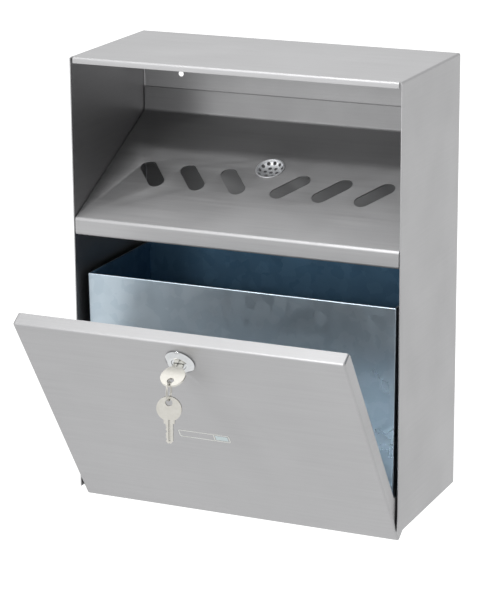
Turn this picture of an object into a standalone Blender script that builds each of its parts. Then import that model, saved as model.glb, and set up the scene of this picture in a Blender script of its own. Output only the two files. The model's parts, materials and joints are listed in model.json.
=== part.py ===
"""A wall-mounted ash bin: a folded stainless housing with a slotted ash tray, a loose bucket behind a
bottom-hinged door, and a cam lock with its key, key ring and spare key.

Metres, +Z up, the front faces -Y. The origin lies on the wall face, midway between the two screw holes.
The door stands open on its stops."""

import math

import bmesh
import bpy
from mathutils import Matrix, Vector

# Housing: one folded sheet, back, sides and top
WIDTH = 0.300
DEPTH = 0.140
HEIGHT = 0.385
SHEET = 0.0010
BEND = 0.0020
SEAT = 0.0003
TOP_LIP = 0.0055
LIP_RELIEF = 0.0006
SCREW_DROP = 0.037
SCREW_SPACING = 0.2248
SCREW_HOLE = 0.0050

# Floor pan under the bucket
FLOOR_RISE = 0.0070
FLOOR_CLEARANCE = 0.0030

# Ash tray, measured up from the housing's bottom edge
LIP_TOP = 0.2447
LIP_HEIGHT = 0.0145
LIP_RETURN = 0.0155
TRAY_RISE = 0.0684
UPSTAND = 0.0215
TRAY_SIDE_GAP = 0.0007
SLOTS_PER_SIDE = 3
SLOT_LENGTH = 0.0386
SLOT_WIDTH = 0.0145
SLOT_LEAN = math.radians(50.4)
SLOT_FIRST = 0.0267
SLOT_PITCH = 0.0384
SLOT_UP = 0.0673

# Perforated stub-out dish in the tray, its width and depth taken at the middle of its sheet
DISH_UP = 0.0885
DISH_RIM = 0.0258
DISH = 0.0232
DISH_DEPTH = 0.0046
DISH_FULLNESS = 2.6
DISH_SHEET = 0.0006
DISH_PLAY = 0.0002
PERFORATION = 0.0033
PERFORATION_RINGS = ((1, 0), (6, 0.465), (12, 0.895))
DISH_CLIP = 0.0290
DISH_CLIP_THICKNESS = 0.0008

# Door and its hinge
DOOR_SIDE_GAP = 0.0012
DOOR_TOP_GAP = 0.0015
DOOR_RETURN = 0.0125
DOOR_FOOT = 0.0080
DOOR_OPEN = math.radians(33.0)
CORNER_SLIT = 0.0006
HINGE_SETBACK = 0.0210
HINGE_RISE = 0.0100
EAR_HEIGHT = 0.0340
EAR_CHAMFER = 0.0040
EAR_SHOULDER = 0.0136
LUG = 0.0160
LUG_START = math.radians(45)
TAIL_LENGTH = 0.0180
TAIL_WIDTH = 0.0080
PIN = 0.0050
PIN_PLAY = 0.0002
PIN_END = 0.0010
SPACER = 0.0120
CLIP = 0.0110
CLIP_THICKNESS = 0.0008
STOP = 0.0060
STOP_REACH = 0.0130

# Cam lock, along its axis from the door's outer face
LOCK_DROP = 0.0215
BEZEL = 0.0258
BEZEL_FACE = 0.0186
BEZEL_HEIGHT = 0.0042
BEZEL_BAND = 0.0009
BEZEL_LAND = 0.0006
BEZEL_STEP_DEPTH = 0.0008
BARREL = 0.0190
BARREL_LENGTH = 0.0175
PLUG = 0.0124
PLUG_PLAY = 0.0002
NUT_FLATS = 0.0220
NUT_THICKNESS = 0.0040
CAM_REACH = 0.0320
CAM_WIDTH = 0.0160
CAM_TIP = 0.0100
CAM_THICKNESS = 0.0020
CAM_SQUARE = 0.0070
CAM_WASHER = 0.0120
CAM_WASHER_THICKNESS = 0.0008
CAM_SCREW = 0.0044
CAM_SCREW_HEAD = 0.0080
CAM_SCREW_HEAD_HEIGHT = 0.0030
CAM_SCREW_LENGTH = 0.0042

# Keys, measured from the shoulder that meets the lock
KEY_BOW = 0.0210
KEY_NECK = 0.0092
KEY_NECK_LENGTH = 0.0032
KEY_THICKNESS = 0.0020
KEY_BLADE = 0.0062
KEY_BLADE_LENGTH = 0.0170
KEY_TIP = 0.0022
KEY_BITS = (0.0006, 0.0011, 0.0004, 0.0009)
KEY_BIT_RAMP = 0.4
KEY_TIP_NOTCH = 1 / 3
KEY_GROOVE = 0.0014
KEY_GROOVE_DEPTH = 0.0004
KEY_HOLE = 0.0060
KEY_HOLE_EDGE = 0.0022
KEY_PLAY = 0.0003

# Ring that carries the spare key
RING = 0.0166
RING_WIRE = 0.0016
RING_YAW = math.radians(12)

# Loose bucket
BUCKET_DROP = 0.0363
BUCKET_SIDE_GAP = 0.0062
BUCKET_FRONT_GAP = 0.0101
BUCKET_BACK_GAP = 0.0080
BUCKET_DRAFT = math.radians(0.6)
BUCKET_SHEET = 0.0008
BUCKET_BEND = 0.0010
HEM_WIDTH = 0.0024
HEM_DEPTH = 0.0060

# Facets of the round forms, and the angles that smoothing and folding go by
BEND_STEPS = 4
ROUND_STEPS = 40
HOLE_STEPS = 24
WIRE_STEPS = 12
PERFORATION_STEPS = 12
DISH_STEPS = 9
LUG_STEPS = 6
SMOOTH_BELOW = math.radians(35)
FLAT_BELOW = math.radians(2)

# Places that follow from the sizes above
INNER = WIDTH / 2 - SHEET
LIP_BOTTOM = LIP_TOP - LIP_HEIGHT
DOOR_HALF = INNER - DOOR_SIDE_GAP
DOOR_HEIGHT = LIP_BOTTOM - DOOR_TOP_GAP
HINGE_Y = HINGE_SETBACK - DEPTH
PLUG_FACE = BEZEL_HEIGHT - BEZEL_STEP_DEPTH - SEAT
CAM_BACK = -BARREL_LENGTH - SEAT - CAM_THICKNESS
CAM_SCREW_SEAT = CAM_BACK - SEAT - CAM_WASHER_THICKNESS - SEAT
CAM_SCREW_END = CAM_SCREW_SEAT + CAM_SCREW_LENGTH
KEY_TOP = KEY_NECK_LENGTH + math.sqrt(KEY_BOW**2 - KEY_NECK**2) / 2 + KEY_BOW / 2
QUARTER_TURN = math.pi / 2
EVERY_TURN = 2 * math.pi
PUNCH_REACH = 4 * SHEET


def metal(name, colour, roughness):
    """A bare metal of one colour."""
    made = bpy.data.materials.new(name)
    made.use_nodes = True
    shader = made.node_tree.nodes["Principled BSDF"]
    shader.inputs["Base Color"].default_value = (*colour, 1)
    shader.inputs["Metallic"].default_value = 1
    shader.inputs["Roughness"].default_value = roughness
    return made


def axis(name, parent, place, turn=(0, 0, 0), order="XYZ"):
    """An empty that carries the pieces of one body."""
    made = bpy.data.objects.new(name, None)
    bpy.context.scene.collection.objects.link(made)
    made.parent = parent
    made.location = place
    made.rotation_mode = order
    made.rotation_euler = turn
    return made


def piece(name, shape, material=None, parent=None):
    """Turn a bmesh into a named object under its parent."""
    mesh = bpy.data.meshes.new(name)
    shape.to_mesh(mesh)
    shape.free()
    if material:
        mesh.materials.append(material)
    mesh.shade_smooth()
    mesh.set_sharp_from_angle(angle=SMOOTH_BELOW)
    made = bpy.data.objects.new(name, mesh)
    bpy.context.scene.collection.objects.link(made)
    made.parent = parent
    return made


def folded(name, panels, outward, material, parent, sheet=SHEET, bend=BEND):
    """Sheet folded along the edges that its panels share. The panels are outlines on the outer face."""
    shape = bmesh.new()
    corners = {}
    for panel in panels:
        verts = []
        for point in panel:
            key = tuple(round(value, 7) for value in point)
            if key not in corners:
                corners[key] = shape.verts.new(point)
            verts.append(corners[key])
        shape.faces.new(verts)
    bmesh.ops.recalc_face_normals(shape, faces=shape.faces[:])
    shape.faces.ensure_lookup_table()
    if shape.faces[0].normal.dot(Vector(outward)) < 0:
        bmesh.ops.reverse_faces(shape, faces=shape.faces[:])
    folds = [e for e in shape.edges if len(e.link_faces) == 2 and e.calc_face_angle() > FLAT_BELOW]
    bmesh.ops.bevel(shape, geom=folds, offset=bend, segments=BEND_STEPS, profile=0.5, affect="EDGES")
    made = piece(name, shape, material, parent)
    thickness = made.modifiers.new("sheet", "SOLIDIFY")
    thickness.thickness = sheet
    thickness.offset = -1
    thickness.use_even_offset = True
    return made


def turned(name, profile, material, parent, steps=ROUND_STEPS):
    """Solid of revolution round local Z, from (radius, height) points."""
    shape = bmesh.new()
    verts = [shape.verts.new((radius, 0, height)) for radius, height in profile]
    pairs = zip(verts, verts[1:] + verts[:1])
    edges = [shape.edges.new(pair) for pair in pairs if max(pair[0].co.x, pair[1].co.x) > 0]
    bmesh.ops.spin(shape, geom=verts + edges, axis=(0, 0, 1), angle=EVERY_TURN, steps=steps, use_merge=True)
    bmesh.ops.remove_doubles(shape, verts=shape.verts[:], dist=1e-7)
    bmesh.ops.recalc_face_normals(shape, faces=shape.faces[:])
    return piece(name, shape, material, parent)


def prism(name, outline, low, high, material=None, parent=None):
    """An outline in local XY, drawn out along local Z."""
    shape = bmesh.new()
    base = shape.faces.new([shape.verts.new((x, y, low)) for x, y in outline])
    side = bmesh.ops.extrude_face_region(shape, geom=[base])["geom"]
    risen = [item for item in side if isinstance(item, bmesh.types.BMVert)]
    bmesh.ops.translate(shape, verts=risen, vec=(0, 0, high - low))
    bmesh.ops.recalc_face_normals(shape, faces=shape.faces[:])
    return piece(name, shape, material, parent)


def arc(centre, radius, start, end, steps):
    """Points on an arc, angles in radians."""
    turns = [start + (end - start) * step / steps for step in range(steps + 1)]
    return [(centre[0] + radius * math.cos(a), centre[1] + radius * math.sin(a)) for a in turns]


def circle(radius, steps=HOLE_STEPS):
    return arc((0, 0), radius, 0, EVERY_TURN, steps)[:-1]


def rectangle(wide, tall):
    return [(-wide / 2, -tall / 2), (wide / 2, -tall / 2), (wide / 2, tall / 2), (-wide / 2, tall / 2)]


def ring_profile(inner, outer, low, high):
    return [(outer, high), (outer, low), (inner, low), (inner, high)]


def cut(target, helper, place=None, operation="DIFFERENCE"):
    """Take a helper solid, given in the target's own space, out of the target, or add it."""
    helper.parent = target
    if place is not None:
        helper.matrix_local = place
    helper.hide_render = True
    helper.display_type = "WIRE"
    step = target.modifiers.new(helper.name, "BOOLEAN")
    step.operation = operation
    step.solver = "EXACT"
    step.object = helper


def mirrored(points):
    """The same outline on the other side of the middle plane."""
    return [(-x, y, z) for x, y, z in points]


def make_housing(parent):
    """Back, sides and top in one fold, with a lip along the top's front edge between two bend reliefs."""
    half = WIDTH / 2
    end = half - BEND - SEAT - LIP_RELIEF
    relief = -DEPTH + BEND + LIP_RELIEF
    back = [(-half, 0, 0), (half, 0, 0), (half, 0, HEIGHT), (-half, 0, HEIGHT)]
    right = [(half, 0, 0), (half, -DEPTH, 0), (half, -DEPTH, HEIGHT), (half, 0, HEIGHT)]
    front_right = [
        (half, -DEPTH, HEIGHT),
        (end + LIP_RELIEF, -DEPTH, HEIGHT),
        (end + LIP_RELIEF, relief, HEIGHT),
        (end, relief, HEIGHT),
        (end, -DEPTH, HEIGHT),
    ]
    front = front_right + mirrored(front_right)[::-1]
    top = [(half, 0, HEIGHT), *front, (-half, 0, HEIGHT)]
    lip_foot = HEIGHT - TOP_LIP
    lip = [(-end, -DEPTH, HEIGHT), (end, -DEPTH, HEIGHT), (end, -DEPTH, lip_foot), (-end, -DEPTH, lip_foot)]
    shell = folded("housing_shell", [back, right, mirrored(right), top, lip], (0, 1, 0), stainless, parent)
    for number, side in enumerate((-1, 1)):
        drill = prism(f"screw_hole_cutter_{number}", circle(SCREW_HOLE / 2), -DEPTH / 2, DEPTH / 2)
        lying = Matrix.Rotation(QUARTER_TURN, 4, "X")
        where = Matrix.Translation((side * SCREW_SPACING / 2, 0, HEIGHT - SCREW_DROP))
        cut(shell, drill, where @ lying)


def make_floor(parent):
    """Floor with flanges turned down on all four sides, set behind the swing of the door's tails."""
    half = INNER - SEAT
    front = HINGE_Y + TAIL_LENGTH + FLOOR_CLEARANCE
    back = -SHEET - SEAT
    deck = [(x, y, FLOOR_RISE) for x, y in ((-half, front), (half, front), (half, back), (-half, back))]
    panels = [deck]
    for start, end in zip(deck, deck[1:] + deck[:1]):
        panels.append([start, end, (end[0], end[1], 0), (start[0], start[1], 0)])
    folded("floor_pan", panels, (0, 0, 1), stainless, parent)


def tray_frame():
    """Space of the tray's plate: X across, Y up the slope from the front fold, Z out of the upper face."""
    rear = -SHEET - SEAT - SHEET
    slope = math.atan2(TRAY_RISE, rear + DEPTH)
    return Matrix.Translation((0, -DEPTH, LIP_TOP)) @ Matrix.Rotation(slope, 4, "X")


def make_tray(parent):
    """Sloped plate with slots, an upstand at the back wall, and a front lip with a return."""
    half = INNER - TRAY_SIDE_GAP
    rear = -SHEET - SEAT - SHEET
    rear_fold = LIP_TOP + TRAY_RISE
    path = [
        (-DEPTH + LIP_RETURN, LIP_BOTTOM),
        (-DEPTH, LIP_BOTTOM),
        (-DEPTH, LIP_TOP),
        (rear, rear_fold),
        (rear, rear_fold + UPSTAND),
    ]
    panels = []
    for (y0, z0), (y1, z1) in zip(path, path[1:]):
        panels.append([(-half, y0, z0), (half, y0, z0), (half, y1, z1), (-half, y1, z1)])
    tray = folded("ash_tray", panels, (0, 0, -1), stainless, parent)
    straight = (SLOT_LENGTH - SLOT_WIDTH) / 2
    outline = arc((straight, 0), SLOT_WIDTH / 2, -QUARTER_TURN, QUARTER_TURN, HOLE_STEPS // 2)
    outline += arc((-straight, 0), SLOT_WIDTH / 2, QUARTER_TURN, 3 * QUARTER_TURN, HOLE_STEPS // 2)
    for side, name in ((-1, "left"), (1, "right")):
        for number in range(SLOTS_PER_SIDE):
            punch = prism(f"slot_cutter_{name}_{number}", outline, -PUNCH_REACH, PUNCH_REACH)
            across = side * (SLOT_FIRST + number * SLOT_PITCH)
            where = Matrix.Translation((across, SLOT_UP, 0))
            cut(tray, punch, tray_frame() @ where @ Matrix.Rotation(side * SLOT_LEAN, 4, "Z"))
    hole = circle((DISH + DISH_SHEET) / 2 + DISH_PLAY, ROUND_STEPS)
    punch = prism("dish_hole_cutter", hole, -PUNCH_REACH, PUNCH_REACH)
    cut(tray, punch, tray_frame() @ Matrix.Translation((0, DISH_UP, 0)))


def dish_share(share):
    """Share of one half-axis of the dish's full, flat-bottomed section that goes with one of the other."""
    return max(0, 1 - share**DISH_FULLNESS) ** (1 / DISH_FULLNESS)


def dish_point(share):
    """Radius, depth below the rim and lean from level, at a share of the dish's radius."""
    power = DISH_FULLNESS - 1
    depth_share = dish_share(share)
    lean = math.atan2(share**power * 2 / DISH, depth_share**power / DISH_DEPTH)
    return share * DISH / 2, depth_share * DISH_DEPTH, lean


def make_dish(parent):
    """Perforated dish let into the plate with its rim on top, and the clip that holds it from below."""
    seat = axis("dish_seat", parent, tray_frame() @ Vector((0, DISH_UP, 0)))
    seat.rotation_euler = tray_frame().to_euler()
    half_sheet = DISH_SHEET / 2
    inside = []
    outside = []
    for step in range(DISH_STEPS):
        turn = QUARTER_TURN * step / DISH_STEPS
        radius, depth, lean = dish_point(math.cos(turn) ** (2 / DISH_FULLNESS))
        across, up = half_sheet * math.sin(lean), half_sheet * math.cos(lean)
        inside.append((radius - across, SEAT - depth + up))
        outside.append((radius + across, SEAT - depth - up))
    bottom = SEAT - DISH_DEPTH
    brim = SEAT + DISH_SHEET
    profile = [
        (0, bottom + half_sheet),
        *inside[::-1],
        (inside[0][0], brim),
        (DISH_RIM / 2, brim),
        (DISH_RIM / 2, SEAT),
        *outside,
        (0, bottom - half_sheet),
    ]
    dish = turned("stub_dish", profile, chrome, seat)
    shape = bmesh.new()
    for count, share in PERFORATION_RINGS:
        radius, depth, lean = dish_point(share)
        place = Matrix.Translation((radius, 0, SEAT - depth)) @ Matrix.Rotation(-lean, 4, "Y")
        for number in range(count):
            bmesh.ops.create_cone(
                shape,
                cap_ends=True,
                segments=PERFORATION_STEPS,
                radius1=PERFORATION / 2,
                radius2=PERFORATION / 2,
                depth=PERFORATION,
                matrix=Matrix.Rotation(EVERY_TURN * number / count, 4, "Z") @ place,
            )
    cut(dish, piece("perforation_cutter", shape))
    below = -SHEET - SEAT
    bore = dish_share((SEAT - below) / DISH_DEPTH) * DISH / 2 + half_sheet + DISH_PLAY
    ring = ring_profile(bore, DISH_CLIP / 2, below - DISH_CLIP_THICKNESS, below)
    turned("dish_clip", ring, spring_steel, seat)


def ear_outline():
    """Rear edge of a door side in (y, z) from the hinge: down the return, round the lug and its tail."""
    edge = DOOR_RETURN - HINGE_SETBACK
    lug = LUG / 2
    tail = TAIL_WIDTH / 2
    tail_side = math.asin(tail / lug)
    return [
        (edge, EAR_HEIGHT),
        (edge + EAR_CHAMFER, EAR_HEIGHT - EAR_CHAMFER),
        (0, EAR_SHOULDER),
        *arc((0, 0), lug, LUG_START, tail_side, LUG_STEPS // 2),
        *arc((TAIL_LENGTH - tail, 0), tail, QUARTER_TURN, -QUARTER_TURN, LUG_STEPS),
        *arc((0, 0), lug, -tail_side, -QUARTER_TURN, LUG_STEPS),
    ]


def make_door(parent):
    """Pan with returns on all sides. Its ears turn on the hinge pins and its tails meet the stops."""
    face = -HINGE_SETBACK
    foot = -HINGE_RISE
    top = foot + DOOR_HEIGHT
    back = face + DOOR_RETURN
    heel = face + DOOR_FOOT
    half = DOOR_HALF
    front = [(-half, face, foot), (half, face, foot), (half, face, top), (-half, face, top)]
    head = [(-half, face, top), (half, face, top), (half, back, top), (-half, back, top)]
    sill = [(-half, face, foot), (half, face, foot), (half, heel, foot), (-half, heel, foot)]
    ear = [(half, y, z) for y, z in ear_outline()]
    right = [(half, face, foot), (half, face, top), (half, back, top), *ear, (half, heel, foot)]
    door = folded("door_panel", [front, head, sill, right, mirrored(right)], (0, -1, 0), stainless, parent)
    drill = prism("pin_hole_cutter", circle(PIN / 2 + PIN_PLAY), -WIDTH, WIDTH)
    cut(door, drill, Matrix.Rotation(QUARTER_TURN, 4, "Y"))
    drill = prism("lock_hole_cutter", circle(BARREL / 2 + SEAT, ROUND_STEPS), -PUNCH_REACH, PUNCH_REACH)
    cut(door, drill, Matrix.Translation((0, face, top - LOCK_DROP)) @ Matrix.Rotation(QUARTER_TURN, 4, "X"))
    for number, side in enumerate((-1, 1)):
        saw = prism(f"corner_slit_cutter_{number}", rectangle(CORNER_SLIT, 4 * BEND), 0, DOOR_RETURN)
        corner = Matrix.Translation((side * half, face + BEND, top))
        lean = Matrix.Rotation(side * QUARTER_TURN / 2, 4, "Z")
        cut(door, saw, corner @ Matrix.Rotation(-QUARTER_TURN, 4, "X") @ lean)


def make_hinge_and_stops(parent):
    """Weld studs inside the sides: pins with spacer and clip for the ears, and stops above the tails."""
    wall = INNER - SEAT
    ear_outside = DOOR_HALF
    ear_inside = DOOR_HALF - SHEET
    clip_end = ear_inside - SEAT - CLIP_THICKNESS
    along = Vector((0, math.cos(DOOR_OPEN), math.sin(DOOR_OPEN)))
    above = Vector((0, -math.sin(DOOR_OPEN), math.cos(DOOR_OPEN)))
    hinge = Vector((0, HINGE_Y, HINGE_RISE))
    stop = hinge + along * STOP_REACH + above * (TAIL_WIDTH / 2 + SEAT + STOP / 2)
    for side, name in ((-1, "left"), (1, "right")):
        sideways = (0, side * QUARTER_TURN, 0)
        pin_axis = axis(f"hinge_axis_{name}", parent, hinge, sideways)
        pin = [(0, wall), (PIN / 2, wall), (PIN / 2, clip_end - PIN_END), (0, clip_end - PIN_END)]
        turned(f"hinge_pin_{name}", pin, stainless, pin_axis, HOLE_STEPS)
        bore = PIN / 2 + PIN_PLAY
        spacer = ring_profile(bore, SPACER / 2, ear_outside + SEAT, wall)
        turned(f"hinge_spacer_{name}", spacer, nylon, pin_axis, HOLE_STEPS)
        clip = ring_profile(bore, CLIP / 2, clip_end, ear_inside - SEAT)
        turned(f"hinge_clip_{name}", clip, spring_steel, pin_axis, HOLE_STEPS)
        stop_axis = axis(f"stop_axis_{name}", parent, stop, sideways)
        stud = [(0, wall), (STOP / 2, wall), (STOP / 2, ear_inside - PIN_END), (0, ear_inside - PIN_END)]
        turned(f"stop_stud_{name}", stud, stainless, stop_axis, HOLE_STEPS)


def make_lock(parent):
    """Bezel and barrel through the door with a nut behind it, then the plug, cam, washer and screw."""
    bore = PLUG / 2 + PLUG_PLAY
    body = [
        (BEZEL_FACE / 2 - BEZEL_LAND, BEZEL_HEIGHT),
        (BEZEL_FACE / 2, BEZEL_HEIGHT),
        (BEZEL / 2, SEAT + BEZEL_BAND),
        (BEZEL / 2, SEAT),
        (BARREL / 2, SEAT),
        (BARREL / 2, -BARREL_LENGTH),
        (bore, -BARREL_LENGTH),
        (bore, BEZEL_HEIGHT - BEZEL_STEP_DEPTH),
    ]
    turned("lock_body", body, chrome, parent)
    behind = -SHEET - SEAT
    hexagon = circle(NUT_FLATS / math.sqrt(3), 6)
    nut = prism("lock_nut", hexagon, behind - NUT_THICKNESS, behind, zinc, parent)
    thread = prism("nut_bore_cutter", circle(BARREL / 2 + SEAT, ROUND_STEPS), -BARREL_LENGTH, SEAT)
    cut(nut, thread)
    plug_end = -BARREL_LENGTH
    barrel = [(0, PLUG_FACE), (PLUG / 2, PLUG_FACE), (PLUG / 2, plug_end), (0, plug_end)]
    plug = turned("lock_plug", barrel, chrome, parent)
    square = rectangle(CAM_SQUARE, CAM_SQUARE)
    cut(plug, prism("plug_square", square, CAM_BACK + SEAT, plug_end + SHEET), operation="UNION")
    keyway = rectangle(KEY_BLADE + 2 * KEY_PLAY, KEY_THICKNESS + 2 * KEY_PLAY)
    slot_end = PLUG_FACE - KEY_BLADE_LENGTH - 2 * KEY_PLAY
    cut(plug, prism("keyway_cutter", keyway, slot_end, BEZEL_HEIGHT))
    bore = circle(CAM_SCREW / 2 + SEAT)
    cut(plug, prism("screw_bore_cutter", bore, 2 * CAM_BACK, CAM_SCREW_END + SEAT))


def key_outline():
    """Bow, neck and blade of a key in local (x, z), with bits cut in one edge of the blade."""
    bow = KEY_BOW / 2
    neck = KEY_NECK / 2
    blade = KEY_BLADE / 2
    middle = KEY_TOP - bow
    side = math.acos(neck / bow)
    outline = [(neck, 0), *arc((0, middle), bow, -side, math.pi + side, ROUND_STEPS), (-neck, 0), (-blade, 0)]
    pitch = (KEY_BLADE_LENGTH - KEY_TIP) / (len(KEY_BITS) + 0.5)
    for number, depth in enumerate(KEY_BITS):
        start = -pitch * (number + 0.5)
        root = depth - blade
        ramp = pitch * KEY_BIT_RAMP
        end = start - pitch
        outline += [(-blade, start), (root, start - ramp), (root, end + ramp), (-blade, end)]
    tip = -KEY_BLADE_LENGTH
    fork = blade * KEY_TIP_NOTCH
    outline += [(-blade, tip + KEY_TIP), (-fork, tip), (0, tip + KEY_TIP * KEY_TIP_NOTCH), (fork, tip)]
    outline += [(blade, tip + KEY_TIP), (blade, 0)]
    return outline


def make_key(name, parent, shoulder):
    """Flat key with a hole in its bow and a groove down each face of the blade."""
    standing = Matrix.Rotation(QUARTER_TURN, 4, "X")
    key = prism(name, key_outline(), -KEY_THICKNESS / 2, KEY_THICKNESS / 2, nickel, parent)
    key.data.transform(standing)
    key.location = (0, 0, shoulder)
    hole = Matrix.Translation((0, 0, KEY_TOP - KEY_HOLE_EDGE - KEY_HOLE / 2))
    drill = prism(f"{name}_hole_cutter", circle(KEY_HOLE / 2), -KEY_THICKNESS, KEY_THICKNESS)
    cut(key, drill, hole @ standing)
    groove = rectangle(KEY_GROOVE, 2 * KEY_GROOVE_DEPTH)
    for number, side in enumerate((-1, 1)):
        low, high = KEY_TIP - KEY_BLADE_LENGTH, KEY_NECK_LENGTH
        mill = prism(f"{name}_groove_cutter_{number}", groove, low, high)
        cut(key, mill, Matrix.Translation((0, side * KEY_THICKNESS / 2, 0)))


def make_cam(parent):
    """Cam on the plug's square, with its washer and screw. It points left, clear of the tray's lip."""
    hub = CAM_WIDTH / 2
    tip = CAM_TIP / 2
    outline = arc((0, 0), hub, -QUARTER_TURN, QUARTER_TURN, HOLE_STEPS // 2)
    outline += arc((tip - CAM_REACH, 0), tip, QUARTER_TURN, 3 * QUARTER_TURN, HOLE_STEPS // 2)
    cam = prism("lock_cam", outline, CAM_BACK, CAM_BACK + CAM_THICKNESS, zinc, parent)
    fit = rectangle(CAM_SQUARE + 2 * SEAT, CAM_SQUARE + 2 * SEAT)
    cut(cam, prism("cam_square_cutter", fit, 2 * CAM_BACK, 0))
    front = CAM_BACK - SEAT
    washer = ring_profile(CAM_SCREW / 2 + SEAT, CAM_WASHER / 2, front - CAM_WASHER_THICKNESS, front)
    turned("cam_washer", washer, zinc, parent, HOLE_STEPS)
    screw = [
        (0, CAM_SCREW_END),
        (CAM_SCREW / 2, CAM_SCREW_END),
        (CAM_SCREW / 2, CAM_SCREW_SEAT),
        (CAM_SCREW_HEAD / 2, CAM_SCREW_SEAT),
        (CAM_SCREW_HEAD / 2, CAM_SCREW_SEAT - CAM_SCREW_HEAD_HEIGHT),
        (0, CAM_SCREW_SEAT - CAM_SCREW_HEAD_HEIGHT),
    ]
    turned("cam_screw", screw, zinc, parent, HOLE_STEPS)


def make_ring_and_spare(lock_axis, key_shoulder):
    """Ring through the bow of the key in the lock, hanging plumb, and the spare key hanging on the ring."""
    bar = key_shoulder + KEY_TOP - KEY_HOLE_EDGE / 2
    reach = math.hypot(KEY_HOLE_EDGE, KEY_THICKNESS) / 2 + SEAT + RING_WIRE / 2
    middle = (RING - RING_WIRE) / 2
    upright = -(DOOR_OPEN + QUARTER_TURN)
    hook = axis("ring_swing", lock_axis, (0, 0, bar), (upright, 0, RING_YAW), "ZYX")
    drop = middle - reach
    wire = [(middle + x, y) for x, y in circle(RING_WIRE / 2, WIRE_STEPS)]
    ring = turned("key_ring", wire, nickel, hook)
    ring.location = (0, 0, -drop)
    ring.rotation_euler = (0, QUARTER_TURN, 0)
    spare = axis("spare_swing", hook, (0, 0, -drop - middle))
    make_key("spare_key", spare, RING_WIRE / 2 + SEAT - KEY_TOP + KEY_HOLE_EDGE)


def make_bucket(parent):
    """Slightly tapered bucket folded from one sheet, with a hem turned inwards round its rim."""
    rim = LIP_BOTTOM - BUCKET_DROP
    base = FLOOR_RISE + SEAT
    taper = (rim - base) * math.tan(BUCKET_DRAFT)
    half = INNER - BUCKET_SIDE_GAP
    front = -DEPTH + BUCKET_FRONT_GAP
    back = -SHEET - BUCKET_BACK_GAP

    def level(inset, z):
        """Corners of the bucket's plan at one height, in order round it."""
        x, y0, y1 = half - inset, front + inset, back - inset
        return [(-x, y0, z), (x, y0, z), (x, y1, z), (-x, y1, z)]

    inside = level(HEM_WIDTH, rim - HEM_DEPTH)
    loops = [level(taper, base), level(0, rim), level(HEM_WIDTH, rim), inside]
    panels = [loops[0]]
    for lower, upper in zip(loops, loops[1:]):
        for number in range(4):
            after = (number + 1) % 4
            panels.append([lower[number], lower[after], upper[after], upper[number]])
    folded("bucket", panels, (0, 0, -1), galvanised, parent, BUCKET_SHEET, BUCKET_BEND)


for leftover in list(bpy.data.objects):
    bpy.data.objects.remove(leftover)

stainless = metal("stainless_steel", (0.62, 0.62, 0.63), 0.36)
chrome = metal("chrome", (0.85, 0.86, 0.87), 0.10)
zinc = metal("zinc_plate", (0.60, 0.62, 0.64), 0.30)
nickel = metal("nickel_plate", (0.72, 0.70, 0.65), 0.22)
spring_steel = metal("spring_steel", (0.45, 0.46, 0.48), 0.35)
galvanised = metal("galvanised_steel", (0.55, 0.61, 0.66), 0.30)
nylon = metal("nylon", (0.80, 0.80, 0.76), 0.50)
nylon.node_tree.nodes["Principled BSDF"].inputs["Metallic"].default_value = 0

bin_foot = axis("bin_foot", None, (0, 0, SCREW_DROP - HEIGHT))
make_housing(bin_foot)
make_floor(bin_foot)
make_tray(bin_foot)
make_dish(bin_foot)
make_hinge_and_stops(bin_foot)
make_bucket(bin_foot)

door_hinge = axis("door_hinge", bin_foot, (0, HINGE_Y, HINGE_RISE), (DOOR_OPEN, 0, 0))
make_door(door_hinge)
lock_height = DOOR_HEIGHT - HINGE_RISE - LOCK_DROP
lock_axis = axis("lock_axis", door_hinge, (0, -HINGE_SETBACK, lock_height), (QUARTER_TURN, 0, 0))
make_lock(lock_axis)
make_cam(lock_axis)
key_shoulder = PLUG_FACE + SEAT
make_key("door_key", lock_axis, key_shoulder)
make_ring_and_spare(lock_axis, key_shoulder)
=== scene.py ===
"""Finishes, light and camera for a wall-mounted ash bin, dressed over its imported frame. Metres, +Z up."""

import json
import math

import bmesh
import bpy
from mathutils import Matrix, Vector


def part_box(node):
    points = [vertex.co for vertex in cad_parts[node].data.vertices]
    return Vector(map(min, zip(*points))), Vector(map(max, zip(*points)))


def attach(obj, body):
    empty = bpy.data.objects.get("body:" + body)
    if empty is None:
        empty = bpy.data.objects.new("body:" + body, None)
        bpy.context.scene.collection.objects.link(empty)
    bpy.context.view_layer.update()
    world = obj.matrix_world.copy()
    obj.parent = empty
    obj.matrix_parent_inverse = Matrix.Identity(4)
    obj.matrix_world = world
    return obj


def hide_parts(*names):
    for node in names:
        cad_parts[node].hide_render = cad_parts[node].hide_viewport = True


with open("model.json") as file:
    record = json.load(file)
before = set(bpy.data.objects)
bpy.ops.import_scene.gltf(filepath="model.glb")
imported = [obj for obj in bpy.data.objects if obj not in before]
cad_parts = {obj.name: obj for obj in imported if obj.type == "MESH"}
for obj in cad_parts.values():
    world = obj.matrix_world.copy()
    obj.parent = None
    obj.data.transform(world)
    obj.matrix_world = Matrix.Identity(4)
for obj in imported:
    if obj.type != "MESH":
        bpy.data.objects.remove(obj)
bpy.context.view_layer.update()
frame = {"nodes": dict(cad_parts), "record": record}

# Housing: back, sides and top of the bin in one sheet of 1 mm stainless steel, laser cut and folded.
# A small lip is folded down along the top's front edge, and two holes in the back take the wall screws.
# The outside is brushed with a fine belt, and the inside keeps the smoother finish of the rolled sheet.

EDGE_EASED = 0.00018
EASED_ABOVE = math.radians(40)
LEVEL = math.radians(0.3)
WELD = 1e-6


def linear(code):
    """A colour written as sRGB hex, in the linear values that the shaders take."""
    shares = [int(code[at:at + 2], 16) / 255 for at in (0, 2, 4)]
    return (*[s / 12.92 if s <= 0.04045 else ((s + 0.055) / 1.055) ** 2.4 for s in shares], 1)


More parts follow.
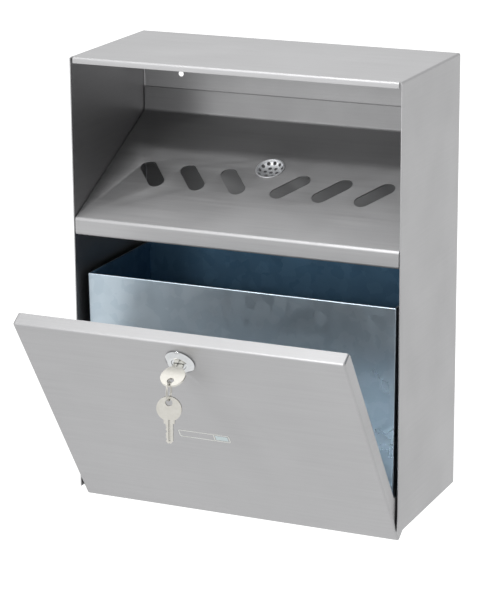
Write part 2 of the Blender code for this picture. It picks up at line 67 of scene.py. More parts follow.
def add_node(tree, kind, inputs=None, **settings):
    """One shader node, with its settings, and its inputs as values or as links from other nodes."""
    made = tree.nodes.new(kind)
    for name, value in settings.items():
        setattr(made, name, value)
    for socket, value in (inputs or {}).items():
        if isinstance(value, bpy.types.NodeSocket):
            tree.links.new(value, made.inputs[socket])
        else:
            made.inputs[socket].default_value = value
    return made


def new_material(name):
    """A material with only its shader in it, its node tree and that shader."""
    material = bpy.data.materials.new(name)
    material.use_nodes = True
    return material, material.node_tree, material.node_tree.nodes["Principled BSDF"]


def two_tones(tree, fac, tones):
    """A colour that goes from one tone to another with a pattern's value."""
    ramp = add_node(tree, "ShaderNodeValToRGB", {"Fac": fac})
    for stop, place, tone in zip(ramp.color_ramp.elements, (0.3, 0.7), tones):
        stop.position = place
        stop.color = linear(tone)
    return ramp.outputs["Color"]


def between(tree, fac, low, high):
    """A number that goes from low to high over the middle of a pattern's values."""
    span = {"Value": fac, "From Min": 0.3, "From Max": 0.7, "To Min": low, "To Max": high}
    return add_node(tree, "ShaderNodeMapRange", span).outputs["Result"]


def lay_grain(mesh, along=(1, 0, 0), instead=(0, 1, 0)):
    """Sheet coordinates in metres, the first one running with the rolling and brushing of the sheet."""
    grain = mesh.uv_layers.new(name="grain")
    for face in mesh.polygons:
        run = Vector(along) - face.normal * face.normal.dot(along)
        if run.length < 0.5:
            run = Vector(instead) - face.normal * face.normal.dot(instead)
        run.normalize()
        across = face.normal.cross(run)
        for corner in face.loop_indices:
            place = mesh.vertices[mesh.loops[corner].vertex_index].co
            grain.data[corner].uv = (place.dot(run), place.dot(across))


def packed_shape(node):
    """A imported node's own solid, with its facets welded to each other and joined where they lie flat."""
    shape = bmesh.new()
    shape.from_mesh(frame["nodes"][node].data)
    bmesh.ops.remove_doubles(shape, verts=shape.verts[:], dist=WELD)
    bmesh.ops.dissolve_limit(shape, angle_limit=LEVEL, verts=shape.verts[:], edges=shape.edges[:])
    return shape


def finished(name, shape, material, body, node=None, eased=EDGE_EASED):
    """A piece of the bin: bends shade round, panels flat, and cut edges are eased as by deburring."""
    mesh = bpy.data.meshes.new(name)
    shape.to_mesh(mesh)
    shape.free()
    mesh.shade_smooth()
    lay_grain(mesh)
    mesh.materials.append(material)
    piece = bpy.data.objects.new(name, mesh)
    bpy.context.scene.collection.objects.link(piece)
    edge = piece.modifiers.new("eased_edges", "BEVEL")
    edge.width = eased
    edge.segments = 2
    edge.limit_method = "ANGLE"
    edge.angle_limit = EASED_ABOVE
    flat = piece.modifiers.new("flat_panels", "WEIGHTED_NORMAL")
    flat.keep_sharp = False
    if node:
        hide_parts(node)
    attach(piece, body)
    return piece


def line_inside(piece, lining, middle):
    """Give the faces that look towards the middle of the bin another finish."""
    piece.data.materials.append(lining)
    for face in piece.data.polygons:
        face.material_index = int(face.normal.dot(Vector(middle) - face.center) > 0)


def rolled_stainless(name, gloss, streak, relief, tones=("a1a1a2", "acacad")):
    """Stainless sheet with a one-way grain. It gives soft, wide reflections, drawn out across the grain.
    The grain's lines are about 0.1 mm apart. They are drawn five times as coarse, so that they show."""
    material, tree, shader = new_material(name)
    line_pitch, line_length = 0.0005, 0.060
    pass_pitch, pass_length = 0.0030, 0.300
    hand_size = 0.055
    pass_share = 0.35
    scratch_depth = 0.00003
    grain = add_node(tree, "ShaderNodeUVMap", uv_map="grain").outputs["UV"]
    scales = ((1 / line_length, 1 / line_pitch, 0), (1 / pass_length, 1 / pass_pitch, 0))
    stretched = [
        add_node(tree, "ShaderNodeVectorMath", {0: grain, 1: scale}, operation="MULTIPLY").outputs[0]
        for scale in scales
    ]
    lines, passes = (
        add_node(tree, "ShaderNodeTexNoise", {"Vector": drawn, "Scale": 1, "Detail": 3}).outputs["Fac"]
        for drawn in stretched
    )
    place = add_node(tree, "ShaderNodeTexCoord").outputs["Object"]
    hands = add_node(tree, "ShaderNodeTexNoise", {"Vector": place, "Scale": 1 / hand_size, "Detail": 3})
    worn = add_node(tree, "ShaderNodeMix", {"Factor": pass_share, 2: lines, 3: passes}).outputs[0]
    tree.links.new(two_tones(tree, worn, tones), shader.inputs["Base Color"])
    dulled = between(tree, hands.outputs["Fac"], -0.03, 0.03)
    rough = add_node(tree, "ShaderNodeMath", {0: between(tree, worn, *gloss), 1: dulled}, operation="ADD")
    tree.links.new(rough.outputs[0], shader.inputs["Roughness"])
    scratched = {"Height": lines, "Strength": relief, "Distance": scratch_depth}
    scratch = add_node(tree, "ShaderNodeBump", scratched)
    tree.links.new(scratch.outputs["Normal"], shader.inputs["Normal"])
    run = add_node(tree, "ShaderNodeTangent", direction_type="UV_MAP", uv_map="grain")
    tree.links.new(run.outputs["Tangent"], shader.inputs["Tangent"])
    shader.inputs["Metallic"].default_value = 1
    shader.inputs["Anisotropic"].default_value = streak
    shader.inputs["Anisotropic Rotation"].default_value = 0.25
    return material


brushed_steel = rolled_stainless("belt_brushed_stainless", (0.42, 0.50), 0.75, 0.15)
mill_steel = rolled_stainless("mill_finish_stainless", (0.40, 0.48), 0.2, 0.05)
sheet = packed_shape("housing_shell")
housing = finished("housing", sheet, brushed_steel, "housing", "housing_shell")
line_inside(housing, mill_steel, (0, -0.08, -0.15))

# Floor pan: the deck that the bucket stands on, a stainless sheet with flanges folded down on all four sides.
# The flanges are spot welded to the housing, so that it shows no screws.

finished("floor", packed_shape("floor_pan"), mill_steel, "housing", "floor_pan")

# Ash tray: a sloped stainless plate with six punched slots that let cigarette ends fall into the bucket.
# It has an upstand against the back wall, and a front lip with a return that stiffens it. It is welded in.

# The tray's steel is given a tone a shade darker than the housing's
tray_tones = ("9b9b9c", "a6a6a7")
tray_steel = rolled_stainless("darker_brushed_stainless", (0.42, 0.50), 0.75, 0.15, tray_tones)
finished("tray", packed_shape("ash_tray"), tray_steel, "housing", "ash_tray")

# Stub-out dish: a perforated dish pressed from thin steel and chrome plated, for putting cigarettes out.
# It sits in a round hole in the tray with its rim on top. A push-on ring of spring steel holds it from below.

TRAY_FOLD = Vector((0, -0.140, -0.1033))
TRAY_SLOPE = math.atan2(0.0684, 0.1377)
DISH_UP = 0.0885
DISH_SEAT = 0.0003
DISH_RADIUS = 0.0116
DISH_RIM_RADIUS = 0.0129
DISH_DEPTH = 0.0046
DISH_FULLNESS = 2.6
DISH_SHEET = 0.0006
HOLE = 0.0033
HOLE_RINGS = ((1, 0), (6, 0.465), (12, 0.895))
QUARTER = math.pi / 2
TURN = 2 * math.pi


def lathe(profile, steps=96):
    """A turned form round Z. The profile's (radius, height) points run round it once, to or from the axis."""
    shape = bmesh.new()
    points = [shape.verts.new((radius, 0, height)) for radius, height in profile]
    pairs = [pair for pair in zip(points, points[1:] + points[:1]) if max(pair[0].co.x, pair[1].co.x) > 0]
    edges = [shape.edges.new(pair) for pair in pairs]
    bmesh.ops.spin(shape, geom=points + edges, axis=(0, 0, 1), angle=TURN, steps=steps, use_merge=True)
    bmesh.ops.remove_doubles(shape, verts=shape.verts[:], dist=WELD)
    bmesh.ops.recalc_face_normals(shape, faces=shape.faces[:])
    return shape


def arc(centre, radius, start, end, steps):
    """Points on an arc, from one angle to another."""
    turns = [start + (end - start) * step / steps for step in range(steps + 1)]
    return [(centre[0] + radius * math.cos(a), centre[1] + radius * math.sin(a)) for a in turns]


def drawn_out(outline, low, high):
    """A flat outline in XY, drawn out along Z."""
    shape = bmesh.new()
    base = shape.faces.new([shape.verts.new((x, y, low)) for x, y in outline])
    side = bmesh.ops.extrude_face_region(shape, geom=[base])["geom"]
    risen = [item for item in side if isinstance(item, bmesh.types.BMVert)]
    bmesh.ops.translate(shape, verts=risen, vec=(0, 0, high - low))
    bmesh.ops.recalc_face_normals(shape, faces=shape.faces[:])
    return shape


def together(shapes):
    """Several forms in one, each first set in its place."""
    whole = bmesh.new()
    for shape, place in shapes:
        shape.transform(place)
        mesh = bpy.data.meshes.new("part")
        shape.to_mesh(mesh)
        shape.free()
        whole.from_mesh(mesh)
        bpy.data.meshes.remove(mesh)
    return whole


def carved(shape, tool, operation="DIFFERENCE"):
    """One form with another cut out of it, or only what the two share."""
    blanks = []
    for form in (shape, tool):
        mesh = bpy.data.meshes.new("blank")
        form.to_mesh(mesh)
        form.free()
        blank = bpy.data.objects.new("blank", mesh)
        bpy.context.scene.collection.objects.link(blank)
        blanks.append(blank)
    step = blanks[0].modifiers.new("cut", "BOOLEAN")
    step.operation = operation
    step.solver = "EXACT"
    step.object = blanks[1]
    bpy.context.view_layer.update()
    result = blanks[0].evaluated_get(bpy.context.evaluated_depsgraph_get())
    made = bmesh.new()
    made.from_mesh(result.to_mesh())
    result.to_mesh_clear()
    for blank in blanks:
        bpy.data.objects.remove(blank)
    return made


def plated(name, tones, gloss, cloud_size, ripple=0.0):
    """A metal with a thin coat: one even tone with a faint cloud in its colour and gloss."""
    material, tree, shader = new_material(name)
    place = add_node(tree, "ShaderNodeTexCoord").outputs["Object"]
    cloud = add_node(tree, "ShaderNodeTexNoise", {"Vector": place, "Scale": 1 / cloud_size, "Detail": 3})
    fac = cloud.outputs["Fac"]
    tree.links.new(two_tones(tree, fac, tones), shader.inputs["Base Color"])
    tree.links.new(between(tree, fac, *gloss), shader.inputs["Roughness"])
    if ripple:
        relief = add_node(tree, "ShaderNodeBump", {"Height": fac, "Strength": ripple, "Distance": 0.00005})
        tree.links.new(relief.outputs["Normal"], shader.inputs["Normal"])
    shader.inputs["Metallic"].default_value = 1
    return material


def dish_share(share):
    """Share of one half-axis of the dish's full, flat-bottomed section that goes with one of the other."""
    return max(0, 1 - share**DISH_FULLNESS) ** (1 / DISH_FULLNESS)


def dish_point(share):
    """Radius, depth below the rim and lean from level, at a share of the dish's radius."""
    power = DISH_FULLNESS - 1
    depth_share = dish_share(share)
    lean = math.atan2(share**power / DISH_RADIUS, depth_share**power / DISH_DEPTH)
    return share * DISH_RADIUS, depth_share * DISH_DEPTH, lean


def dish_form():
    """The dish with a rolled rim, its sheet of one thickness all over, and its holes square to the sheet."""
    half = DISH_SHEET / 2
    rows = 24
    inside = [(0, DISH_SEAT - DISH_DEPTH + half)]
    outside = [(0, DISH_SEAT - DISH_DEPTH - half)]
    for row in range(rows - 1, -1, -1):
        radius, depth, lean = dish_point(math.cos(QUARTER * row / rows) ** (2 / DISH_FULLNESS))
        across, up = half * math.sin(lean), half * math.cos(lean)
        inside.append((radius - across, DISH_SEAT - depth + up))
        outside.append((radius + across, DISH_SEAT - depth - up))
    throat = arc((DISH_RADIUS + half, DISH_SEAT), DISH_SHEET, math.pi, QUARTER, 6)
    rolled = arc((DISH_RIM_RADIUS - half, DISH_SEAT + half), half, QUARTER, -QUARTER, 8)
    dish = lathe(inside[:-1] + throat + rolled + outside[::-1])
    drills = []
    for count, share in HOLE_RINGS:
        radius, depth, lean = dish_point(share)
        place = Matrix.Translation((radius, 0, DISH_SEAT - depth)) @ Matrix.Rotation(-lean, 4, "Y")
        for number in range(count):
            drill = drawn_out(arc((0, 0), HOLE / 2, 0, TURN, 28)[:-1], -HOLE / 2, HOLE / 2)
            drills.append((drill, Matrix.Rotation(TURN * number / count, 4, "Z") @ place))
    return carved(dish, together(drills))


up_the_tray = Matrix.Translation((0, DISH_UP, 0))
dish_place = Matrix.Translation(TRAY_FOLD) @ Matrix.Rotation(TRAY_SLOPE, 4, "X") @ up_the_tray
# Bright chrome: a hard, mirror-like plate that shows the lamps and the pieces round it in sharp patches
bright_chrome = plated("bright_chrome_plate", ("bcbebf", "c4c6c7"), (0.03, 0.07), 0.004)
# Chrome over tumbled steel: paler, and its reflections are spread, so that it looks evenly silver
satin_chrome = plated("tumbled_chrome_plate", ("e6e8ea", "f0f1f3"), (0.50, 0.58), 0.002, 0.05)
# Spring steel, phosphated and oiled: dark grey and half dull
spring_steel = plated("phosphated_spring_steel", ("56585c", "64666a"), (0.35, 0.45), 0.002, 0.1)
dish = dish_form()
dish.transform(dish_place)
finished("dish", dish, satin_chrome, "housing", "stub_dish", 0.00012)
push_on_ring = packed_shape("dish_clip")
finished("dish_ring", push_on_ring, spring_steel, "housing", "dish_clip", 0.00015)

# Hinge and stops: stainless studs, welded inside the sides near the bottom. Each door ear turns on a pin
# between a nylon washer and a toothed push-on clip. A thicker stud above meets the door's tail and stops it.

TEETH = 6
TOOTH_SLIT = 0.0007


def push_on_clip(node):
    """A ring of spring steel whose slit inner edge forms teeth that bite on the pin."""
    low, high = (Vector(corner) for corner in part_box(node))
    middle = (low + high) / 2
    half = (high.x - low.x) / 2
    outer = (high.y - low.y) / 2
    bore = 0.0027
    root = (outer + bore) / 2
    ring = lathe([(outer, half), (outer, -half), (bore, -half), (bore, half)], 72)
    slit = [(0, -TOOTH_SLIT / 2), (root, -TOOTH_SLIT / 2), (root, TOOTH_SLIT / 2), (0, TOOTH_SLIT / 2)]
    cuts = [
        (drawn_out(slit, -2 * half, 2 * half), Matrix.Rotation(TURN * number / TEETH, 4, "Z"))
        for number in range(TEETH)
    ]
    clip = carved(ring, together(cuts))
    clip.transform(Matrix.Translation(middle) @ Matrix.Rotation(QUARTER, 4, "Y"))
    return clip


# Moulded nylon, left in its own colour: a warm white with a soft sheen
nylon = plated("moulded_nylon", ("dcdad0", "e6e4dc"), (0.40, 0.50), 0.002, 0.1)
nylon.node_tree.nodes["Principled BSDF"].inputs["Metallic"].default_value = 0
for side in ("left", "right"):
    for name, node in (("pin_", "hinge_pin_"), ("stop_", "stop_stud_")):
        stud = packed_shape(node + side)
        finished(name + side, stud, mill_steel, "housing", node + side, 0.0004)
    washer = packed_shape("hinge_spacer_" + side)
    finished("washer_" + side, washer, nylon, "housing", "hinge_spacer_" + side, 0.00012)
    clip = push_on_clip("hinge_clip_" + side)
    finished("clip_" + side, clip, spring_steel, "housing", "hinge_clip_" + side, 0.0001)

# Bucket: a loose, slightly tapered bucket of 0.8 mm galvanised sheet, folded up at the corners and soldered.
# Its rim is hemmed inwards, so that it has no sharp edge. It stands on the floor pan behind the door.

SPANGLE = 0.009
ZINC_CLOUD = 0.040


def galvanised_sheet(name, tones, gloss, metal):
    """Hot-dip zinc on steel: bluish grey, half glossy, with a faint patchwork of crystals about 9 mm wide."""
    material, tree, shader = new_material(name)
    place = add_node(tree, "ShaderNodeTexCoord").outputs["Object"]
    warp = add_node(tree, "ShaderNodeTexNoise", {"Vector": place, "Scale": 2 / SPANGLE, "Detail": 2})
    shift = {0: warp.outputs["Color"], 1: (SPANGLE / 2,) * 3}
    bent = add_node(tree, "ShaderNodeVectorMath", shift, operation="MULTIPLY")
    edge = add_node(tree, "ShaderNodeVectorMath", {0: place, 1: bent.outputs[0]}, operation="ADD")
    crystals = add_node(tree, "ShaderNodeTexVoronoi", {"Vector": edge.outputs[0], "Scale": 1 / SPANGLE})
    facet = add_node(tree, "ShaderNodeSeparateColor", {0: crystals.outputs["Color"]})
    clouds = {"Vector": place, "Scale": 1 / ZINC_CLOUD, "Detail": 3}
    cloud = add_node(tree, "ShaderNodeTexNoise", clouds).outputs["Fac"]
    tree.links.new(two_tones(tree, facet.outputs["Red"], tones), shader.inputs["Base Color"])
    dull = add_node(
        tree,
        "ShaderNodeMath",
        {0: between(tree, facet.outputs["Green"], *gloss), 1: between(tree, cloud, -0.02, 0.03)},
        operation="ADD",
    )
    tree.links.new(dull.outputs[0], shader.inputs["Roughness"])
    relief = add_node(tree, "ShaderNodeBump", {"Height": cloud, "Strength": 0.04, "Distance": 0.0005})
    tree.links.new(relief.outputs["Normal"], shader.inputs["Normal"])
    shader.inputs["Metallic"].default_value = metal
    return material


galvanised = galvanised_sheet("hot_dip_galvanised_steel", ("adbbc5", "b4c1ca"), (0.29, 0.34), 1.0)
# Inside, the zinc gets a darker, bluer tone as painted shade, and ash takes the shine off it, which then
# scatters more of the light that comes in by the slots
shaded_dull_zinc = galvanised_sheet("ash_dulled_painted_shade_galvanised_steel", ("668dab", "6e95b3"), (0.56, 0.64), 1.0)
sheet = packed_shape("bucket")
bucket = finished("bucket_sheet", sheet, galvanised, "bucket", "bucket", 0.0001)
line_inside(bucket, shaded_dull_zinc, (0, -0.07, -0.2))

# Door: a stainless pan with returns folded back on all four sides and slits at its upper corners.
# Ears on its sides turn on the hinge pins, and tails on the ears meet the stops. Its face is belt brushed.

# Inside, the door has the gloss of bright annealed sheet, which reflects more, and mirrors the bucket softly
lining_tones = ("c0c0c1", "cccccd")
annealed_steel = rolled_stainless("bright_annealed_stainless", (0.30, 0.36), 0.2, 0.05, lining_tones)
door = finished("door", packed_shape("door_panel"), brushed_steel, "door", "door_panel")
line_inside(door, annealed_steel, (0, -0.13, -0.20))

# Sign: a plain cigarette in side view, screen printed on the door in white ink with a pale blue filter.
# It is a level bar with round corners and a line at the filter, placed across and up from the lock's axis.

SIGN_MIDDLE = Vector((-0.004, -0.097))
SIGN_LENGTH = 0.046
SIGN_HEIGHT = 0.008
SIGN_CORNER = 0.0012
SIGN_LINE = 0.0009
FILTER_LENGTH = 0.014
FILTER_MARGIN = 0.0014
INK_LOW = 0.00002
INK_HIGH = 0.00008
joints = {joint["name"]: joint for joint in frame["record"]["behaviour"]["joints"]}
outward = Vector(joints["lock_turn"]["axis"])
across = Vector((1, 0, 0))
lock_place = Matrix((across, outward.cross(across), outward)).transposed().to_4x4()
lock_place.translation = joints["lock_turn"]["pos_m"]


def stroke(path, closed=False):
    """A printed line of one width along a path."""
    shape = bmesh.new()
    count = len(path)
    rows = []
    for number, point in enumerate(path):
        before = path[number - 1] if closed else path[max(number - 1, 0)]
        after = path[(number + 1) % count] if closed else path[min(number + 1, count - 1)]
        side = Vector((before - after).yx).normalized() * SIGN_LINE / 2
        side.x = -side.x
        ends = [point + side, point - side]
        levels = (INK_LOW, INK_HIGH)
        rows.append([[shape.verts.new((end.x, end.y, level)) for end in ends] for level in levels])
    pairs = list(zip(rows, rows[1:] + rows[:1])) if closed else list(zip(rows, rows[1:]))
    for (low, high), (next_low, next_high) in pairs:
        loop = [low[0], low[1], high[1], high[0]]
        next_loop = [next_low[0], next_low[1], next_high[1], next_high[0]]
        for number in range(4):
            turn = (number + 1) % 4
            shape.faces.new((loop[number], loop[turn], next_loop[turn], next_loop[number]))
    if not closed:
        for low, high in (rows[0], rows[-1]):
            shape.faces.new((low[0], low[1], high[1], high[0]))
    bmesh.ops.recalc_face_normals(shape, faces=shape.faces[:])
    return shape


def screen_ink(name, tone):
    """Enamel ink, screen printed: an even, slightly glossy coat, a little thin in spots."""
    material = plated(name, (tone, tone[:4] + "ee"), (0.32, 0.45), 0.0006, 0.1)
    material.node_tree.nodes["Principled BSDF"].inputs["Metallic"].default_value = 0
    return material


straight = Vector((SIGN_LENGTH / 2 - SIGN_CORNER, SIGN_HEIGHT / 2 - SIGN_CORNER))
border = []
for number, (x, y) in enumerate(((1, 1), (-1, 1), (-1, -1), (1, -1))):
    centre = SIGN_MIDDLE + Vector((x * straight.x, y * straight.y))
    first, last = QUARTER * number, QUARTER * (number + 1)
    border += [Vector(point) for point in arc(centre, SIGN_CORNER, first, last, 6)]
right_end = SIGN_MIDDLE.x + SIGN_LENGTH / 2
filter_start = right_end - FILTER_LENGTH
reach = (SIGN_HEIGHT - SIGN_LINE) / 2
filter_line = [Vector((filter_start, SIGN_MIDDLE.y + level)) for level in (reach, -reach)]
patch_low = SIGN_MIDDLE.y - SIGN_HEIGHT / 2 + FILTER_MARGIN
patch_high = SIGN_MIDDLE.y + SIGN_HEIGHT / 2 - FILTER_MARGIN
patch_left, patch_right = filter_start + FILTER_MARGIN, right_end - FILTER_MARGIN
patch = [(patch_left, patch_low), (patch_right, patch_low)]
patch += [(patch_right, patch_high), (patch_left, patch_high)]
white_ink = screen_ink("white_screen_ink", "fafcfe")
blue_ink = screen_ink("pale_blue_screen_ink", "e4f4fd")
outline = together([(stroke(border, closed=True), lock_place), (stroke(filter_line), lock_place)])
finished("sign_outline", outline, white_ink, "door", eased=0.00001)
filter_patch = drawn_out(patch, INK_LOW, INK_HIGH)
filter_patch.transform(lock_place)
finished("sign_filter", filter_patch, blue_ink, "door", eased=0.00001)

# Cam lock: a chromed zinc body with a cone-shaped bezel and a threaded barrel through a round hole in the
# door, clamped by a hexagon nut behind it. Its plug turns with the key and carries the cam on a square.

BEZEL_RADIUS = 0.0129
BEZEL_FACE_RADIUS = 0.0093
BEZEL_HEIGHT = 0.0042
BEZEL_BAND = 0.0009
BEZEL_LAND = 0.0006
BEZEL_STEP = 0.0008
LOCK_SEAT = 0.0003
BARREL_RADIUS = 0.0095
BARREL_LENGTH = 0.0175
BORE_RADIUS = 0.0064
THREAD_PITCH = 0.0010
THREAD_DEPTH = 0.0005
NUT_BACK, NUT_FRONT = -0.0053, -0.0013
NUT_FLATS = 0.0220
NUT_CHAMFER = 0.0006


def thread(radius, low, high):
    """Profile of a thread drawn as rings, from one height up to another, with its crests at the radius."""
    turns = round((high - low) / THREAD_PITCH)
    points = []
    for number in range(turns):
        foot = low + (high - low) * number / turns
        points += [(radius - THREAD_DEPTH, foot), (radius, foot + THREAD_PITCH / 2)]
    return points


def lock_form():
    """Bezel with crisp eased corners, and the barrel with its thread."""
    barrel = thread(BARREL_RADIUS, -BARREL_LENGTH, -THREAD_PITCH / 2)[::-1]
    profile = [
        (BEZEL_FACE_RADIUS - BEZEL_LAND, BEZEL_HEIGHT),
        (BEZEL_FACE_RADIUS, BEZEL_HEIGHT),
        (BEZEL_RADIUS, LOCK_SEAT + BEZEL_BAND),
        (BEZEL_RADIUS, LOCK_SEAT),
        (BARREL_RADIUS, LOCK_SEAT),
        *barrel,
        (BORE_RADIUS, -BARREL_LENGTH),
        (BORE_RADIUS, BEZEL_HEIGHT - BEZEL_STEP),
    ]
    return lathe(profile)


def nut_form():
    """Hexagon nut with its corners turned down on both faces and a threaded bore."""
    corner = NUT_FLATS / math.sqrt(3)
    hexagon = drawn_out(arc((0, 0), corner, 0, TURN, 6)[:-1], NUT_BACK, NUT_FRONT)
    face = NUT_FLATS / 2
    dome = [
        (0, NUT_FRONT),
        (face, NUT_FRONT),
        (corner, NUT_FRONT - NUT_CHAMFER),
        (corner, NUT_BACK + NUT_CHAMFER),
        (face, NUT_BACK),
        (0, NUT_BACK),
    ]
    blank = carved(hexagon, lathe(dome), "INTERSECT")
    crests = BARREL_RADIUS + THREAD_DEPTH + LOCK_SEAT
    bore = thread(crests, NUT_BACK - THREAD_PITCH, NUT_FRONT + THREAD_PITCH)[::-1]
    return carved(blank, lathe([(0, bore[0][1]), *bore, (0, bore[-1][1])]))


# Zinc plate, passivated clear: a cool, half-bright grey
zinc = plated("clear_zinc_plate", ("b2b8bd", "bcc2c6"), (0.28, 0.38), 0.003)
lock = lock_form()
lock.transform(lock_place)
finished("lock", lock, bright_chrome, "door", "lock_body", 0.00025)
nut = nut_form()
nut.transform(lock_place)
finished("nut", nut, zinc, "door", "lock_nut", 0.00015)
finished("plug", packed_shape("lock_plug"), bright_chrome, "lock_core", "lock_plug", 0.00015)

# Cam: a stamped and zinc-plated steel finger on the plug's square. It turns behind the tray's lip to lock.
# A washer and a pan-head screw with a cross recess hold it on.

SCREW_RADIUS = 0.0022
SCREW_TIP, SCREW_SEAT, SCREW_TOP = -0.0170, -0.0212, -0.0242
HEAD_RADIUS = 0.0040
HEAD_BAND = 0.0012
RECESS_LENGTH, RECESS_WIDTH, RECESS_DEPTH = 0.0046, 0.0011, 0.0017


def screw_form():
    """Pan-head screw with a cross recess."""
    dome_height = SCREW_SEAT - HEAD_BAND - SCREW_TOP
    dome = [
        (HEAD_RADIUS * math.cos(a), SCREW_SEAT - HEAD_BAND - dome_height * math.sin(a))
        for a in (QUARTER * step / 10 for step in range(10))
    ]
    shank = [(0, SCREW_TIP), (SCREW_RADIUS, SCREW_TIP), (SCREW_RADIUS, SCREW_SEAT), (HEAD_RADIUS, SCREW_SEAT)]
    bar = [(-RECESS_LENGTH / 2, -RECESS_WIDTH / 2), (RECESS_LENGTH / 2, -RECESS_WIDTH / 2)]
    bar += [(-x, -y) for x, y in bar]
    floor = SCREW_TOP + RECESS_DEPTH
    wings = [(drawn_out(bar, 2 * SCREW_TOP, floor), Matrix.Rotation(turn, 4, "Z")) for turn in (0, QUARTER)]
    head = lathe(shank + dome + [(0, SCREW_TOP)], 64)
    for wing, place in wings:
        wing.transform(place)
        head = carved(head, wing)
    return head


finished("cam", packed_shape("lock_cam"), zinc, "lock_core", "lock_cam", 0.0003)
finished("cam_disc", packed_shape("cam_washer"), zinc, "lock_core", "cam_washer", 0.00015)
screw = screw_form()
screw.transform(lock_place)
finished("screw", screw, zinc, "lock_core", "cam_screw", 0.0001)

# Keys: two flat keys stamped from brass sheet, nickel plated, with grooved and cut blades and a holed bow.
# One stands in the lock. The other hangs from the first one's bow on a split ring of spring wire.

RING_MIDDLE = 0.0075
COIL_PITCH = 0.00078
COIL_HALF_WIDE, COIL_HALF_DEEP = 0.00036, 0.00060
RING_YAW = math.radians(12)


def share_over(tree, value, start, end):
    """How far a value has come from one bound to another, with soft ends."""
    span = {"Value": value, "From Min": start, "From Max": end}
    return add_node(tree, "ShaderNodeMapRange", span, interpolation_type="SMOOTHSTEP").outputs["Result"]


def split_ring():
    """Two flat turns of wire side by side, which change places over a short jog."""
    low, high = (Vector(corner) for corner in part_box("key_ring"))
    shape = bmesh.new()
    steps, sides = 192, 16
    jog = math.radians(35)
    loops = []
    for step in range(steps + 1):
        turn = 2 * TURN * step / steps
        share = min(max((turn - TURN + jog) / (2 * jog), 0), 1)
        level = COIL_PITCH * (share * share * (3 - 2 * share) - 0.5)
        loop = []
        for number in range(sides):
            a = TURN * number / sides
            flat = max(abs(math.cos(a)), abs(math.sin(a))) ** 0.5
            radius = RING_MIDDLE + COIL_HALF_DEEP * math.cos(a) / flat
            height = level + COIL_HALF_WIDE * math.sin(a) / flat
            loop.append(shape.verts.new((radius * math.cos(turn), radius * math.sin(turn), height)))
        loops.append(loop)
    for loop, after in zip(loops, loops[1:]):
        for number in range(sides):
            beside = (number + 1) % sides
            shape.faces.new((loop[number], loop[beside], after[beside], after[number]))
    for loop in (loops[0], loops[-1]):
        shape.faces.new(loop)
    bmesh.ops.recalc_face_normals(shape, faces=shape.faces[:])
    facing = Matrix.Rotation(RING_YAW, 4, "Z") @ Matrix.Rotation(QUARTER, 4, "Y")
    shape.transform(Matrix.Translation((low + high) / 2) @ facing)
    return shape


# Nickel plate over tumbled brass: a warm, bright grey with a soft gloss
nickel = plated("nickel_plate", ("c2c0b9", "cbc9c3"), (0.40, 0.48), 0.003, 0.05)
tree = nickel.node_tree
shader = tree.nodes["Principled BSDF"]
metal = shader.inputs["Base Color"].links[0].from_socket
# Painted shade: ambient occlusion darkens the grooves and the cuts towards a dark grey
open_to_light = add_node(tree, "ShaderNodeAmbientOcclusion", {"Distance": 0.0012}, samples=8).outputs["AO"]
painted_shade_share = share_over(tree, open_to_light, 0.95, 0.55)
painted_shade_mix = {0: painted_shade_share, 6: metal, 7: linear("4c4a46")}
painted_groove_shade = add_node(tree, "ShaderNodeMix", painted_shade_mix, data_type="RGBA")
tree.links.new(painted_groove_shade.outputs[2], shader.inputs["Base Color"])
finished("key", packed_shape("door_key"), nickel, "key", "door_key", 0.0003)
finished("spare", packed_shape("spare_key"), nickel, "spare", "spare_key", 0.0003)
finished("ring", split_ring(), nickel, "ring", "key_ring", 0.00005)

# Stage: a pale floor well below the bin, which hangs in front of a white studio. The camera sees it white,
# the metal mirrors the same white, and the floor keeps the bin's shadow.

FLOOR_LEVEL = -2.60
FLOOR_REACH = 24.0


def showing(tree):
    """1 for what the camera sees, metal mirrors or glass lets through, and 0 for all other light."""
    rays = add_node(tree, "ShaderNodeLightPath").outputs
    mirrored = {0: rays["Is Glossy Ray"], 1: rays["Is Transmission Ray"]}
    mirrored = add_node(tree, "ShaderNodeMath", mirrored, operation="MAXIMUM").outputs[0]
    either = {0: rays["Is Camera Ray"], 1: mirrored}
    return add_node(tree, "ShaderNodeMath", either, operation="MAXIMUM").outputs[0]


shape = bmesh.new()
bmesh.ops.create_circle(shape, cap_ends=True, radius=FLOOR_REACH, segments=96)
mesh = bpy.data.meshes.new("studio_floor")
shape.to_mesh(mesh)
shape.free()
studio_floor = bpy.data.objects.new("studio_floor", mesh)
bpy.context.scene.collection.objects.link(studio_floor)
studio_floor.location = (0, 0, FLOOR_LEVEL)
material, tree, shader = new_material("pale_floor_paint")
tree.nodes.remove(shader)
paint = add_node(tree, "ShaderNodeBsdfDiffuse", {"Color": linear("ececec")})
glow = add_node(tree, "ShaderNodeEmission", {"Color": linear("ffffff"), "Strength": 0.70})
pale = add_node(tree, "ShaderNodeAddShader", {0: paint.outputs[0], 1: glow.outputs[0]})
both = add_node(tree, "ShaderNodeMixShader", {0: showing(tree), 1: paint.outputs[0], 2: pale.outputs[0]})
tree.links.new(both.outputs[0], tree.nodes["Material Output"].inputs["Surface"])
mesh.materials.append(material)

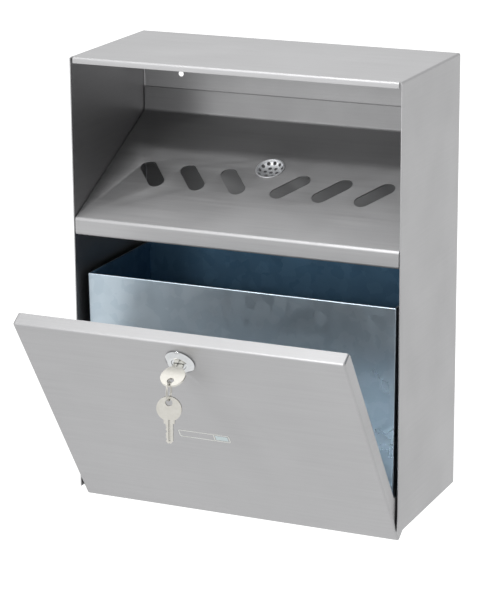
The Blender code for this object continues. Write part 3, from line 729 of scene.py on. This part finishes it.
# Light: a white studio all round, which gives the bin a plain level of light. One soft lamp hangs overhead,
# a smaller and stronger one stands high in front, and a weak one lower on the left lights the folded edges.

world = bpy.data.worlds.new("white_studio")
bpy.context.scene.world = world
world.use_nodes = True
world.cycles.sampling_method = "NONE"
tree = world.node_tree
background = tree.nodes["Background"]
background.inputs["Color"].default_value = linear("ffffff")
strength = add_node(tree, "ShaderNodeMix", {"Factor": showing(tree), 2: 0.6, 3: 1.0}).outputs[0]
tree.links.new(strength, background.inputs["Strength"])


def softbox(name, place, aim, size, watts):
    """A rectangular lamp with a soft front, turned towards a point."""
    lamp = bpy.data.lights.new(name, "AREA")
    lamp.shape = "RECTANGLE"
    lamp.size, lamp.size_y = size
    lamp.energy = watts
    made = bpy.data.objects.new(name, lamp)
    bpy.context.scene.collection.objects.link(made)
    made.location = place
    made.rotation_euler = (Vector(aim) - Vector(place)).to_track_quat("-Z", "Y").to_euler()


softbox("overhead_softbox", (-0.6, -0.45, 1.4), (-0.1, -0.35, -0.1), (0.8, 0.8), 4.2)
softbox("key_softbox", (-0.50, -1.68, 1.52), (0, -0.08, -0.08), (0.6, 0.12), 18.0)
softbox("fill_softbox", (-0.94, -2.2, 0.50), (0, -0.1, -0.05), (0.5, 0.25), 4.6)

# Camera: a long lens at the photograph's angle, from the right and above.
# Its place and turn were fitted to the bin's corners.

camera = bpy.data.cameras.new("camera")
camera.lens = 152.57
camera.sensor_width = 36
eye = bpy.data.objects.new("camera", camera)
bpy.context.scene.collection.objects.link(eye)
yaw, pitch, roll = (math.radians(angle) for angle in (24.3759, 16.0101, -0.4582))
ahead = Vector((-math.sin(yaw) * math.cos(pitch), math.cos(yaw) * math.cos(pitch), -math.sin(pitch)))
right = Vector((math.cos(yaw), math.sin(yaw), 0))
level = Matrix((right, right.cross(ahead), -ahead)).transposed().to_4x4()
eye.matrix_world = Matrix.Translation((0.84077, -1.98224, 0.42492)) @ level @ Matrix.Rotation(roll, 4, "Z")
bpy.context.scene.camera = eye
bpy.context.scene.view_settings.view_transform = "Standard"
